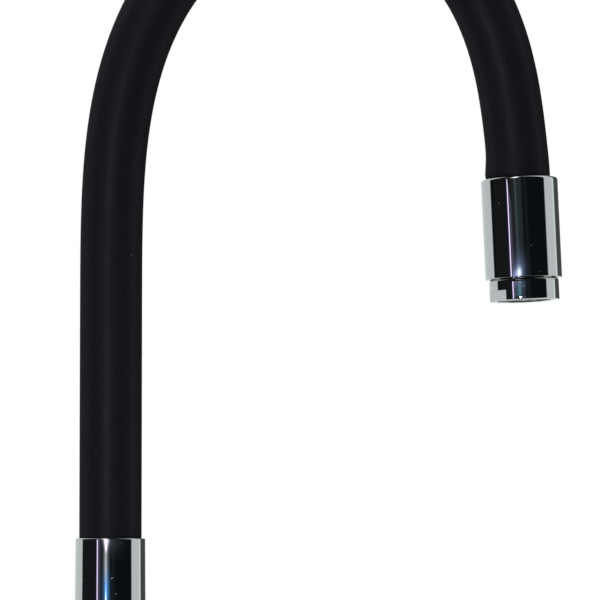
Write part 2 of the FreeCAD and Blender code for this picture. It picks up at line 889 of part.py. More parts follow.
def dome_cap():
    """Chrome dome over the cartridge, round the lever's pivot, which the hub glides over."""
    centre = V(0, 0, pivot_out)
    ball = Part.makeSphere(dome_radius, centre).cut(Part.makeSphere(dome_radius - dome_wall, centre))
    reach = dome_radius + past
    ball = ball.common(rod(reach, boss_end, pivot_out + reach))
    foot = nut_top + dome_skirt_gap
    skirt = tube(nut_radius - dome_skirt_wall, nut_radius, foot, boss_end + dome_wall / 2)
    skirt = skirt.common(Part.makeSphere(dome_radius, centre))
    opening = rod(dome_opening, boss_end, pivot_out + reach)
    return at_boss(ball.fuse(skirt).removeSplitter().cut(opening))


def lever_hub():
    """Chrome hub of the lever: hollow below, to glide over the dome, and cut square to the stem."""
    outline = [(0, pivot_out), (hub_radius, pivot_out), (hub_radius, hub_end), (0, hub_end)]
    lean = math.radians(half_lift)
    rim = boss_end + hub_rim_gap - pivot_out
    along = rim * math.cos(lean) + hub_radius * math.sin(lean)
    half = stem_width / 2 + stem_socket_gap
    reach = hub_radius * 3
    cuts = [
        along_stem(Part.makeSphere(hub_bore)),
        along_stem(box(-reach, reach, -reach, reach, -reach, along)),
        along_stem(box(-half, half, -half, half, 0, stem_length + face_gap)),
        at_rod(rod(rod_radius + slip, 0, hub_radius)),
        at_rod(rod(rod_spigot_radius, -rod_spigot_length - face_gap, past)),
        at_set_screw(rod(set_screw_radius, 0, hub_radius)),
        at_set_screw(rod(plug_radius + slip, plug_foot, hub_radius + past)),
    ]
    return at_boss(turned(outline, {2: hub_round})).cut(cuts)


def at_set_screw(shape):
    """From the set screw's frame to the faucet's: Z points from the stem at the faucet's back."""
    return along_stem(placed(shape, V(0, 0, set_screw_along), FreeCAD.Rotation(V(1, 0, 0), 90)))


def lever_set_screw():
    """Grub screw that holds the hub on the stem."""
    low = stem_width / 2
    high = low + set_screw_length
    key = hexagon(hex_key_flats, high - hex_key_depth, high + past)
    return at_set_screw(rod(set_screw_radius, low, high).cut(key))


def index_plug():
    """Plastic plug over the set screw."""
    points = [(0, plug_foot), (plug_radius, plug_foot), (plug_radius, plug_face), (0, plug_face)]
    return at_set_screw(turned(points, {2: rim_round}))


def lever_rod():
    """Chrome rod that the hand moves, with a threaded spigot in the hub."""
    points = [
        (0, -rod_spigot_length),
        (rod_spigot_radius - slip, -rod_spigot_length),
        (rod_spigot_radius - slip, 0),
        (rod_radius, 0),
        (rod_tip_radius, rod_length),
        (0, rod_length),
    ]
    return at_rod(turned(points, {4: rod_tip_round}))


def nodes():
    """Every node's name and solid."""
    made = {
        "body_shell": body_shell(),
        "base_flange": base_flange(),
        "base_gasket": base_gasket(),
        "mounting_shank": mounting_shank(),
        "rubber_washer": rubber_washer(),
        "steel_washer": steel_washer(),
        "shank_nut": shank_nut(),
        "keeper_screw": keeper_screw(),
        "cartridge_base": cartridge_base(),
        "port_seals": port_seals(),
        "fixed_disc": fixed_disc(),
        "cartridge_housing": cartridge_housing(),
        "cartridge_nut": cartridge_nut(),
        "dome_cap": dome_cap(),
        "stem_rotor": stem_rotor(),
        "pivot_pin": pivot_pin(),
        "moving_disc": moving_disc(),
        "disc_carriage": disc_carriage(),
        "lever_stem": lever_stem(),
        "lever_hub": lever_hub(),
        "lever_rod": lever_rod(),
        "lever_set_screw": lever_set_screw(),
        "index_plug": index_plug(),
        "slip_ring": slip_ring(),
        "swivel_connector": swivel_connector(),
        "swivel_o_rings": swivel_o_rings(),
        "swivel_collar": swivel_collar(),
        "lower_ferrule": lower_ferrule(),
        "lower_crimp": lower_crimp(),
        "water_hose": water_hose(),
        "spout_sleeve": spout_sleeve(),
        "outlet_connector": outlet_connector(),
        "upper_crimp": upper_crimp(),
        "outlet_ferrule": outlet_ferrule(),
        "aerator_gasket": aerator_gasket(),
        "aerator_screen": aerator_screen(),
        "aerator_insert": aerator_insert(),
        "aerator_shell": aerator_shell(),
    }
    for index in range(coil_sections):
        made[f"gooseneck_coil_{index + 1}"] = coil_section(index)
    return made


def main():
    """Writes one STEP file per node."""
    os.makedirs(OUT, exist_ok=True)
    for name, shape in nodes().items():
        state = "valid" if shape.isValid() and shape.Volume > 0 else "INVALID"
        print(f"{name:20s} solids {len(shape.Solids)}  volume {shape.Volume:10.1f}  {state}")
        shape.exportStep(os.path.join(OUT, f"{name}.step"))
    print(f"hose length between the rims: {route.length:.1f} mm")


if __name__ == "__main__":
    main()
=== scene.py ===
"""Looks of a kitchen faucet with a rubber-covered gooseneck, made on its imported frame.

Sizes are in millimetres, as in the part's source. Meshes and the studio are in metres. +Z is up,
+X is the way the spout reaches and +Y is the lever's side.

Every new surface is an outline of (radius, station) pairs carried round a line. A point is the
line's point at its station, plus its radius times (cos of the angle x across + sin x side).
"""

import json
import logging
import math
from collections.abc import Callable
from dataclasses import dataclass, field
from enum import Enum
from typing import Any

import bpy
import numpy as np
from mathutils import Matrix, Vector

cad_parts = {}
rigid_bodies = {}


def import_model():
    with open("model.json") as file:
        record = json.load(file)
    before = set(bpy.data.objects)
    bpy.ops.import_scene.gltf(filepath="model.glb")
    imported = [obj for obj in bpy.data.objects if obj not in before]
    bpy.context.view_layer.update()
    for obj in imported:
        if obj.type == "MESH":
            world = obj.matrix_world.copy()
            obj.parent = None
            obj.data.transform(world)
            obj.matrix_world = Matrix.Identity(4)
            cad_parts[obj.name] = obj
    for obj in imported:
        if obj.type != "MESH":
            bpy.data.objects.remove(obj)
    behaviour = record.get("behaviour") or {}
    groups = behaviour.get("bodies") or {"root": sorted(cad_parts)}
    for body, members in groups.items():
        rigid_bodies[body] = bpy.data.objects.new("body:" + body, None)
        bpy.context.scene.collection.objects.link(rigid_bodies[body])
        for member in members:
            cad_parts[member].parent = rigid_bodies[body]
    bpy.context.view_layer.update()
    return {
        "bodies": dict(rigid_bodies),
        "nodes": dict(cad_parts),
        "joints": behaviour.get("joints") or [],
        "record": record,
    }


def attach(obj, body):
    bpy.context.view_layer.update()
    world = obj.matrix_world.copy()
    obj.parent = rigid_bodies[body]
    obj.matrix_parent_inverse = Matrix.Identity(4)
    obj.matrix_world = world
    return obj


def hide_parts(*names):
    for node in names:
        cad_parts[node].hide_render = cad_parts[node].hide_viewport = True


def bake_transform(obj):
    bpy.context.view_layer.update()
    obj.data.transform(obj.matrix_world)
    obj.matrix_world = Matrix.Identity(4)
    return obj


LOG = logging.getLogger("faucet")
MM = 0.001
COVER_RADIUS = 11.35
COVER_CLEARANCE = 0.15  # round the cover, in the mouth of either ferrule
TOUCH = 0.01  # millimetres within which two radii count as one
SHARP_TURN = math.radians(24)  # faces that meet at more than this meet in a sharp edge
NOISE_SPAN = (0.3, 0.7)  # most of what a noise gives
UNROLLED = "unrolled"  # attribute that holds where a point would be on a straight hose

Colour = tuple[float, float, float]
Point = tuple[float, float, float]
Frame = dict[str, Any]
Socket = bpy.types.NodeSocket
Inputs = dict[str | int, object]

# A line's points, and its directions across, to the side and along
LineFrames = tuple[np.ndarray, np.ndarray, np.ndarray, np.ndarray]

# Points of a part of an outline, and its steps' first and last normals
OutlinePart = tuple[np.ndarray, np.ndarray, np.ndarray]

# Gives new radii from a grid's radii, stations and angles
Shaping = Callable[[np.ndarray, np.ndarray, np.ndarray], np.ndarray]


class Slot(Enum):
    """Material slots of the record."""

    CHROME = "chrome"
    COVER = "black_rubber_cover"
    WATER_HOSE = "water_hose_rubber"
    SEAL = "seal_rubber"
    BRASS = "brass"
    STEEL = "steel"
    WIRE = "spring_steel"
    WHITE_PLASTIC = "white_plastic"
    GREY_PLASTIC = "grey_plastic"
    CERAMIC = "ceramic"


# Lines that an outline is carried round


def directions(heading: np.ndarray) -> tuple[np.ndarray, np.ndarray, np.ndarray]:
    """Gives the directions of a line in the XZ plane that leans from +Z towards +X.

    Along is (sin, 0, cos) of the heading, across is (cos, 0, -sin), and to the side is +Y.

    Args:
        heading: The line's lean at each station, in radians.

    Returns:
        Unit vectors across, to the side and along, one row a station.
    """
    sine, cosine = np.sin(heading), np.cos(heading)
    zero, one = np.zeros_like(heading), np.ones_like(heading)
    across = np.stack([cosine, zero, -sine], axis=1)
    side = np.stack([zero, one, zero], axis=1)
    along = np.stack([sine, zero, cosine], axis=1)
    return across, side, along


@dataclass(frozen=True)
class StraightLine:
    """A straight axis in the XZ plane, from a point, leaning from +Z towards +X."""

    x: float = 0.0
    z: float = 0.0
    heading: float = 0.0

    def frames(self, s: np.ndarray) -> LineFrames:
        """Gives the line's point and directions at each station.

        The point is the start plus the station times the heading's direction.

        Args:
            s: Stations along the line.

        Returns:
            Points, and unit vectors across, to the side and along, one row a station.
        """
        across, side, along = directions(np.full(len(s), self.heading))
        points = np.array([self.x, 0.0, self.z]) + s[:, None] * along
        return points, across, side, along


@dataclass(frozen=True)
class HoseLine:
    """Centreline of the gooseneck, from the lower ferrule's rim to the outlet ferrule's.

    A straight riser starts at a height. Arcs that turn by shares of a sine make the bend, and a
    short mouth leads into the outlet, which leans outwards. The turn and the lean are in degrees.
    """

    start: float = 180.0
    riser: float = 85.0
    bend: float = 319.8
    turn: float = 174.2
    skew: float = 1.45
    arcs: int = 27
    mouth: float = 8.9
    lean: float = 2.5

    def _pieces(self) -> tuple[np.ndarray, np.ndarray]:
        """Gives the length and the turn, in radians, of the riser and of each arc.

        An arc's share of the turn is the sine of pi times its place to the power of skew.

        Returns:
            Lengths and turns.
        """
        place = (np.arange(self.arcs) + 0.5) / self.arcs
        share = np.sin(math.pi * place**self.skew)
        arcs = np.full(self.arcs, self.bend / self.arcs)
        last = 180.0 - self.lean - self.turn
        lengths = np.concatenate([[self.riser], arcs, [self.mouth]])
        turns = np.concatenate([[0.0], self.turn * share / share.sum(), [last]])
        return lengths, np.radians(turns)

    @property
    def length(self) -> float:
        """Length between the rims of the two ferrules."""
        return float(self._pieces()[0].sum())

    def frames(self, s: np.ndarray) -> LineFrames:
        """Gives the line's point and directions at each station.

        Within an arc the heading grows evenly, and the point is the arc's start plus a chord of
        the step times sin(h) / h, where h is half of the turn, in the middle heading's direction.

        Args:
            s: Stations, which may lie beyond the ends, where the line goes straight on.

        Returns:
            Points, and unit vectors across, to the side and along, one row a station.
        """
        lengths, turns = self._pieces()
        ends = np.concatenate([[0.0], np.cumsum(lengths)])
        headings = np.concatenate([[0.0], np.cumsum(turns)])
        chords = lengths * np.sinc(turns / 2 / math.pi)
        middles = headings[:-1] + turns / 2
        xs = np.concatenate([[0.0], np.cumsum(chords * np.sin(middles))])
        zs = self.start + np.concatenate([[0.0], np.cumsum(chords * np.cos(middles))])
        i = np.clip(np.searchsorted(ends, s, side="right") - 1, 0, len(lengths) - 1)
        before, after = s < 0, s > ends[-1]
        turned = np.where(before | after, 0.0, turns[i] * (s - ends[i]) / lengths[i])
        begin = np.where(after, len(lengths), i)
        step = s - ends[begin]
        chord = step * np.sinc(turned / 2 / math.pi)
        middle = headings[begin] + turned / 2
        x, z = xs[begin] + chord * np.sin(middle), zs[begin] + chord * np.cos(middle)
        return np.stack([x, np.zeros_like(x), z], axis=1), *directions(headings[begin] + turned)

    def point(self, s: float) -> Point:
        """The line's point at one station, in metres."""
        return tuple(float(v) * MM for v in self.frames(np.array([s]))[0][0])

    def outlet_axis(self) -> StraightLine:
        """The outlet's axis, from the upper ferrule's mouth down."""
        x, _, z = self.frames(np.array([self.length]))[0][0]
        return StraightLine(float(x), float(z), math.radians(180.0 - self.lean))


# Outlines and the surfaces that they make


@dataclass
class Outline:
    """A closed outline of straight runs and round corners.

    Each of its steps has a first and a last normal, for its start and its end.
    """

    radius: np.ndarray
    station: np.ndarray
    first: np.ndarray
    last: np.ndarray

    @classmethod
    def rounded(
        cls,
        corners: list[tuple[float, float]],
        rounds: dict[int, float] | None = None,
        spacing: float = 4.0,
        steps: int = 7,
    ) -> "Outline":
        """Makes an outline from its corners.

        A round corner is an arc tangent to both runs, which starts the radius times tan of half
        the turn before the corner.

        Args:
            corners: (radius, station) pairs, counter-clockwise with the station upwards.
            rounds: Radius of each round corner, by the corner's number.
            spacing: Longest step along a straight run.
            steps: Steps in each arc.

        Returns:
            The outline.
        """
        rounds = rounds or {}
        corner = np.array(corners, float)
        ahead = np.roll(corner, -1, axis=0) - corner
        along = ahead / np.linalg.norm(ahead, axis=1)[:, None]
        behind = np.roll(along, 1, axis=0)
        cross = behind[:, 0] * along[:, 1] - behind[:, 1] * along[:, 0]
        turn = np.arctan2(cross, (behind * along).sum(axis=1))
        radii = np.array([rounds.get(i, 0.0) for i in range(len(corner))])
        trim = (radii * np.tan(np.abs(turn) / 2))[:, None]
        before, after = corner - behind * trim, corner + along * trim
        parts = []
        for i, radius in enumerate(radii):
            if radius > 0:
                parts.append(cls._arc(before[i], behind[i], turn[i], radius, steps))
            k = (i + 1) % len(corner)
            parts.append(cls._run(after[i], before[k], along[i], spacing))
        path, first, last = (np.concatenate(arrays) for arrays in zip(*parts))
        return cls(path[:, 0], path[:, 1], first, last)

    @staticmethod
    def _arc(
        start: np.ndarray, heading: np.ndarray, turn: float, radius: float, steps: int
    ) -> OutlinePart:
        """Makes a round corner: its centre plus the radius times a ray that turns evenly.

        Args:
            start: Where it starts.
            heading: Which way the outline goes there.
            turn: How far it turns, in radians, with left turns above 0.
            radius: Its radius.
            steps: Steps in it.

        Returns:
            Its points but the last, and its steps' first and last normals.
        """
        side = math.copysign(radius, turn)
        normal = np.array([heading[1], -heading[0]])
        angles = math.atan2(normal[1], normal[0]) + turn * np.linspace(0, 1, steps + 1)
        ray = np.stack([np.cos(angles), np.sin(angles)], axis=1)
        centre = start - normal * side
        return (centre + ray * side)[:-1], ray[:-1], ray[1:]

    @staticmethod
    def _run(
        start: np.ndarray, end: np.ndarray, heading: np.ndarray, spacing: float
    ) -> OutlinePart:
        """Makes a straight run in even steps.

        Args:
            start: Where it starts.
            end: Where it ends.
            heading: Which way it goes.
            spacing: Its longest step.

        Returns:
            Its points but the last, and its steps' first and last normals.
        """
        count = max(1, math.ceil(float(np.linalg.norm(end - start)) / spacing))
        part = np.linspace(0, 1, count + 1)[:-1, None]
        normals = np.repeat([[heading[1], -heading[0]]], count, axis=0)
        return start + (end - start) * part, normals, normals


@dataclass
class Surface:
    """A closed surface: its points in millimetres, its four-sided faces and its corner normals."""

    points: np.ndarray
    faces: np.ndarray
    normals: np.ndarray | None
    unrolled: np.ndarray

    @classmethod
    def carried(
        cls,
        outline: Outline,
        line: StraightLine | HoseLine,
        columns: int = 128,
        offset: float = 0.0,
        shape: Shaping | None = None,
    ) -> "Surface":
        """Carries a closed outline round a line.

        A point is the line's point + radius x (cos(angle) x across + sin(angle) x side), and a
        normal is its radial part x the same direction + its other part x the line's direction.

        Args:
            outline: The outline.
            line: The line that it goes round.
            columns: Steps round the line.
            offset: Angle of the first column, in radians.
            shape: Changes the grid's radii, given them, the stations and the angles.

        Returns:
            The surface, with the outline's normals at each face's corners, or with none where a
            shape is given.
        """
        angle = offset + np.arange(columns) * 2 * math.pi / columns
        centre, across, side, along = line.frames(outline.station)
        ray = np.cos(angle)[None, :, None] * across[:, None]
        ray = ray + np.sin(angle)[None, :, None] * side[:, None]
        radius = np.repeat(outline.radius[:, None], columns, axis=1)
        if shape:
            radius = shape(radius, outline.station[:, None], angle[None])
        points = centre[:, None] + radius[:, :, None] * ray
        rows = len(outline.radius)
        i, j = np.meshgrid(np.arange(rows), np.arange(columns), indexing="ij")
        up, beside = (i + 1) % rows, (j + 1) % columns
        near, far = i * columns, up * columns
        faces = np.stack([near + j, near + beside, far + beside, far + j], axis=2)
        low = cls._normals(outline.first, ray, along)
        high = cls._normals(outline.last, np.roll(ray, -1, axis=0), np.roll(along, -1, axis=0))
        corners = [low, np.roll(low, -1, axis=1), np.roll(high, -1, axis=1), high]
        normals = None if shape else np.stack(corners, axis=2).reshape(-1, 3)
        station = np.repeat(outline.station[:, None], columns, axis=1)
        flat = np.stack([radius * np.cos(angle), radius * np.sin(angle), station], axis=2)
        return cls(points.reshape(-1, 3), faces.reshape(-1, 4), normals, flat.reshape(-1, 3))

    @staticmethod
    def _normals(outline_normals: np.ndarray, ray: np.ndarray, along: np.ndarray) -> np.ndarray:
        """Turns an outline's normals round: radial part x the ray + other part x along."""
        radial, other = outline_normals[:, 0, None, None], outline_normals[:, 1, None, None]
        return radial * ray + other * along[:, None]

    def make(self, name: str, slot: Slot) -> bpy.types.Object:
        """Puts the surface into an object at the origin, dressed in its slot's finish.

        Args:
            name: The piece's name.
            slot: The record's slot.

        Returns:
            The object.
        """
        mesh = bpy.data.meshes.new(name)
        mesh.from_pydata((self.points * MM).tolist(), [], self.faces.tolist())
        mesh.shade_smooth()
        unrolled = mesh.attributes.new(UNROLLED, "FLOAT_VECTOR", "POINT")
        unrolled.data.foreach_set("vector", (self.unrolled * MM).astype(np.float32).ravel())
        if self.normals is None:
            mesh.set_sharp_from_angle(angle=SHARP_TURN)
        else:
            mesh.normals_split_custom_set(self.normals.tolist())
        mesh.materials.append(FINISHES[slot].material())
        piece = bpy.data.objects.new(name, mesh)
        bpy.context.scene.collection.objects.link(piece)
        LOG.info("%s: %d faces", name, len(self.faces))
        return piece


# Finishes, with scales of noise per metre and depths in metres


def opaque(colour: Socket | Colour) -> Socket | tuple[float, ...]:
    """A colour with its alpha of 1, or a node's output as it is."""
    return colour if isinstance(colour, Socket) else (*colour, 1.0)


class Sketch:
    """A node tree that is written in few words."""

    def __init__(self, tree: bpy.types.NodeTree) -> None:
        """Empties the tree."""
        self.tree = tree
        tree.nodes.clear()

    def add(self, kind: str, inputs: Inputs | None = None, **settings: object) -> bpy.types.Node:
        """Adds a node.

        Args:
            kind: The node's type.
            inputs: Constants or outputs of other nodes, by the socket's name or number.
            settings: The node's own settings.

        Returns:
            The node.
        """
        node = self.tree.nodes.new(kind)
        for key, value in settings.items():
            setattr(node, key, value)
        for key, value in (inputs or {}).items():
            if isinstance(value, Socket):
                self.join(value, node, key)
            else:
                node.inputs[key].default_value = value
        return node

    def join(self, value: Socket, node: bpy.types.Node, key: str | int) -> None:
        """Joins an output to a node's input."""
        self.tree.links.new(value, node.inputs[key])

    def math(self, operation: str, *values: Socket | float) -> Socket:
        """The result of one sum on outputs or constants."""
        inputs = dict(enumerate(values))
        return self.add("ShaderNodeMath", inputs, operation=operation).outputs[0]

    def noise(self, where: Socket, scale: float, detail: float = 2.0) -> Socket:
        """Noise of about 0.5, at a scale per metre."""
        inputs = {"Vector": where, "Scale": scale, "Detail": detail}
        return self.add("ShaderNodeTexNoise", inputs).outputs[0]

    def spread(
        self, value: Socket, low: float, high: float, to_low: float, to_high: float
    ) -> Socket:
        """Spreads a range smoothly over another.

        Args:
            value: What is spread.
            low: Start of its range.
            high: End of its range.
            to_low: What the start becomes.
            to_high: What the end becomes.

        Returns:
            The value in the new range.
        """
        ends = {"From Min": low, "From Max": high, "To Min": to_low, "To Max": to_high}
        inputs = {"Value": value, **ends}
        kind = "ShaderNodeMapRange"
        return self.add(kind, inputs, interpolation_type="SMOOTHSTEP").outputs[0]

    def specks(self, where: Socket, scale: float, span: tuple[float, float]) -> Socket:
        """Small specks: 0 where a plain noise is under a span, and 1 where it is over it."""
        return self.spread(self.noise(where, scale, detail=0.0), *span, 0.0, 1.0)

    def blend(
        self, share: Socket | float, a: Socket | Colour, b: Socket | Colour, **settings: object
    ) -> Socket:
        """A mix of two colours, for which a Mix node has inputs 6 and 7 and output 2."""
        inputs = {0: share, 6: opaque(a), 7: opaque(b)}
        return self.add("ShaderNodeMix", inputs, data_type="RGBA", **settings).outputs[2]

    def bump(self, height: Socket, depth: float) -> Socket:
        """A normal from a height, which is 0 to 1 of a depth in metres."""
        return self.add("ShaderNodeBump", {"Height": height, "Distance": depth}).outputs[0]


@dataclass(frozen=True)
class Finish:
    """What every finish has: a name, a colour and how rough it is."""

    name: str
    colour: Colour
    roughness: float

    def material(self) -> bpy.types.Material:
        """Makes the finish's material the first time, and gives the same one afterwards.

        Returns:
            The material.
        """
        made = bpy.data.materials.get(self.name)
        if made:
            return made
        made = bpy.data.materials.new(self.name)
        made.use_nodes = True
        sketch = Sketch(made.node_tree)
        inputs = {"Base Color": opaque(self.colour), "Roughness": self.roughness}
        shader = sketch.add("ShaderNodeBsdfPrincipled", inputs)
        sketch.add("ShaderNodeOutputMaterial", {"Surface": shader.outputs[0]})
        self.dress(sketch, shader)
        made.diffuse_color = opaque(self.colour)
        return made

    def dress(self, sketch: Sketch, shader: bpy.types.Node) -> None:
        """Adds what sets this finish apart. The plain finish adds nothing."""

    def place(self, sketch: Sketch) -> Socket:
        """Where a point is on the piece, in metres."""
        return sketch.add("ShaderNodeTexCoord").outputs["Object"]

    def vary(self, sketch: Sketch, shader: bpy.types.Node, noise: Socket, amount: float) -> None:
        """Lightens and darkens the colour by a share of itself, as the noise goes.

        Args:
            sketch: The material's nodes.
            shader: Its shader.
            noise: The noise.
            amount: The share.
        """
        dark = tuple(c * (1 - amount) for c in self.colour)
        light = tuple(min(1.0, c * (1 + amount)) for c in self.colour)
        mixed = sketch.blend(sketch.spread(noise, *NOISE_SPAN, 0.0, 1.0), dark, light)
        sketch.join(mixed, shader, "Base Color")


@dataclass(frozen=True)
class ChromePlate(Finish):
    """Bright plating, with faint wiped smears that dull it in places."""

    smear: float = 0.012
    smear_scale: float = 45.0
    smear_span: tuple[float, float] = (0.4, 0.75)
    dust: Colour = (0.5, 0.52, 0.53)
    dust_scale: float = 1300.0
    dust_span: tuple[float, float] = (0.85, 0.87)

    def dress(self, sketch: Sketch, shader: bpy.types.Node) -> None:
        """Makes it metal, with smears that dull it and a few specks of dust.

        Args:
            sketch: The material's nodes.
            shader: Its shader.
        """
        where = self.place(sketch)
        broad = sketch.noise(where, self.smear_scale, detail=3.0)
        speck = sketch.specks(where, self.dust_scale, self.dust_span)
        sketch.join(sketch.math("SUBTRACT", 1.0, speck), shader, "Metallic")
        sketch.join(sketch.blend(speck, self.colour, self.dust), shader, "Base Color")
        dullest = self.roughness + self.smear
        dull = sketch.spread(broad, *self.smear_span, self.roughness, dullest)
        sketch.join(sketch.math("MAXIMUM", dull, speck), shader, "Roughness")


@dataclass(frozen=True)
class SatinRubber(Finish):
    """Smooth silicone rubber with a fine grain and a little dust, laid out along the hose."""

    ior: float = 1.18
    grain: float = 2200.0
    depth: float = 0.000012
    dust: float = 0.02
    dust_scale: float = 1500.0
    dust_span: tuple[float, float] = (0.79, 0.84)
    gloss: float = 0.03
    gloss_scale: float = 60.0
    edge: float = 0.35
    edge_span: tuple[float, float] = (0.2, 0.6)

    def place(self, sketch: Sketch) -> Socket:
        """Where a point would be on a straight hose, in metres."""
        return sketch.add("ShaderNodeAttribute", attribute_name=UNROLLED).outputs["Vector"]

    def dress(self, sketch: Sketch, shader: bpy.types.Node) -> None:
        """Adds the grain, specks of dust, a slow change of gloss and a duller sheen at its edges.

        Args:
            sketch: The material's nodes.
            shader: Its shader.
        """
        shader.inputs["IOR"].default_value = self.ior
        where = self.place(sketch)
        broad = sketch.noise(where, self.gloss_scale, detail=3.0)
        speck = sketch.specks(where, self.dust_scale, self.dust_span)
        light = tuple(c + self.dust for c in self.colour)
        sketch.join(sketch.blend(speck, self.colour, light), shader, "Base Color")
        ends = self.roughness - self.gloss, self.roughness + self.gloss
        dull = sketch.spread(broad, *NOISE_SPAN, *ends)
        turned = sketch.add("ShaderNodeLayerWeight").outputs["Facing"]
        duller = sketch.spread(turned, *self.edge_span, 0.0, self.edge)
        sketch.join(sketch.math("ADD", dull, duller), shader, "Roughness")
        sketch.join(sketch.bump(sketch.noise(where, self.grain), self.depth), shader, "Normal")


@dataclass(frozen=True)
class MattRubber(Finish):
    """Moulded rubber with a matt grain."""

    tone: float = 0.25
    tone_scale: float = 140.0
    grain: float = 2600.0
    depth: float = 0.00003

    def dress(self, sketch: Sketch, shader: bpy.types.Node) -> None:
        """Adds the grain and a slow change of tone.

        Args:
            sketch: The material's nodes.
            shader: Its shader.
        """
        where = self.place(sketch)
        noise = sketch.noise(where, self.tone_scale, detail=3.0)
        self.vary(sketch, shader, noise, self.tone)
        sketch.join(sketch.bump(sketch.noise(where, self.grain), self.depth), shader, "Normal")


@dataclass(frozen=True)
class TurnedMetal(Finish):
    """Bare metal off the lathe, with fine lines round its axis and a little tarnish."""

    tarnish: float = 0.1
    tarnish_scale: float = 90.0
    line_scale: tuple[float, float, float] = (120.0, 120.0, 9000.0)
    depth: float = 0.000004
    gloss: float = 0.25

    def dress(self, sketch: Sketch, shader: bpy.types.Node) -> None:
        """Makes it metal and adds the lines and the tarnish.

        Args:
            sketch: The material's nodes.
            shader: Its shader.
        """
        shader.inputs["Metallic"].default_value = 1.0
        where = self.place(sketch)
        noise = sketch.noise(where, self.tarnish_scale, detail=4.0)
        self.vary(sketch, shader, noise, self.tarnish)
        inputs = {"Vector": where, "Scale": self.line_scale}
        lines = sketch.noise(sketch.add("ShaderNodeMapping", inputs).outputs[0], 1.0)
        ends = self.roughness * (1 - self.gloss), self.roughness * (1 + self.gloss)
        sketch.join(sketch.spread(lines, *NOISE_SPAN, *ends), shader, "Roughness")
        sketch.join(sketch.bump(lines, self.depth), shader, "Normal")


@dataclass(frozen=True)
class DrawnWire(Finish):
    """Spring wire with scratches from the die."""

    tone: float = 0.15
    scratch_scale: float = 900.0
    gloss: float = 0.05

    def dress(self, sketch: Sketch, shader: bpy.types.Node) -> None:
        """Makes it metal and adds a fine change of gloss and tone.

        Args:
            sketch: The material's nodes.
            shader: Its shader.
        """
        shader.inputs["Metallic"].default_value = 1.0
        noise = sketch.noise(self.place(sketch), self.scratch_scale)
        self.vary(sketch, shader, noise, self.tone)
        ends = self.roughness - self.gloss, self.roughness + self.gloss
        sketch.join(sketch.spread(noise, *NOISE_SPAN, *ends), shader, "Roughness")


@dataclass(frozen=True)
class MouldedPlastic(Finish):
    """Moulded plastic with the fine texture of its mould."""

    tone: float = 0.03
    tone_scale: float = 200.0
    grain: float = 3500.0
    depth: float = 0.00001

    def dress(self, sketch: Sketch, shader: bpy.types.Node) -> None:
        """Adds the texture and a slight change of tone.

        Args:
            sketch: The material's nodes.
            shader: Its shader.
        """
        where = self.place(sketch)
        self.vary(sketch, shader, sketch.noise(where, self.tone_scale), self.tone)
        texture = sketch.noise(where, self.grain, detail=1.0)
        sketch.join(sketch.bump(texture, self.depth), shader, "Normal")


@dataclass(frozen=True)
class LappedCeramic(Finish):
    """Fine-grained ceramic, lapped flat."""

    tone: float = 0.04
    grain: float = 4000.0

    def dress(self, sketch: Sketch, shader: bpy.types.Node) -> None:
        """Adds the grain."""
        noise = sketch.noise(self.place(sketch), self.grain, detail=3.0)
        self.vary(sketch, shader, noise, self.tone)


FINISHES: dict[Slot, Finish] = {
    Slot.CHROME: ChromePlate("chrome_plate", (0.55, 0.556, 0.554), 0.012),
    Slot.COVER: SatinRubber("satin_silicone", (0.0085, 0.0095, 0.0125), 0.45),
    Slot.WATER_HOSE: MattRubber("grey_hose", (0.32, 0.33, 0.33), 0.5),
    Slot.SEAL: MattRubber("seal_rubber", (0.02, 0.02, 0.02), 0.6),
    Slot.BRASS: TurnedMetal("turned_brass", (0.72, 0.53, 0.24), 0.24),
    Slot.STEEL: TurnedMetal("stainless_steel", (0.5, 0.5, 0.5), 0.28),
    Slot.WIRE: DrawnWire("spring_wire", (0.36, 0.37, 0.38), 0.3),
    Slot.WHITE_PLASTIC: MouldedPlastic("white_plastic", (0.8, 0.8, 0.78), 0.35),
    Slot.GREY_PLASTIC: MouldedPlastic("grey_plastic", (0.42, 0.43, 0.44), 0.35),
    Slot.CERAMIC: LappedCeramic("lapped_ceramic", (0.85, 0.84, 0.81), 0.2),
}

# Brass painted a dull dark brown, deep in the outlet: painted shade in the gap between the ferrule
# and the shell
SHADE_PAINTED_BRASS = TurnedMetal("brass_painted_shade", (0.13, 0.1, 0.055), 0.4)


def dress_nodes(frame: Frame, names: tuple[str, ...], finish: Finish | None = None) -> None:
    """Dresses CAD nodes in a finish, or in the one of their slot in the record.

    Args:
        names: The nodes.
        finish: The finish, where it isn't the slot's.
    """
    slots = {part["node"]: Slot(part["material_slot"]) for part in frame["record"]["subparts"]}
    for name in names:
        mesh = frame["nodes"][name].data
        mesh.materials.clear()
        mesh.materials.append((finish or FINISHES[slots[name]]).material())
        LOG.info("%s: %s", name, slots[name].value)


# Sub-assemblies


@dataclass(frozen=True)
class Tube:
    """A tube round the hose's line, and the CAD node that it stands for.

    It goes on into the lower ferrule by before, and into the outlet's by after.
    """

    name: str
    node: str
    slot: Slot
    bore: float
    radius: float
    before: float
    after: float
    columns: int


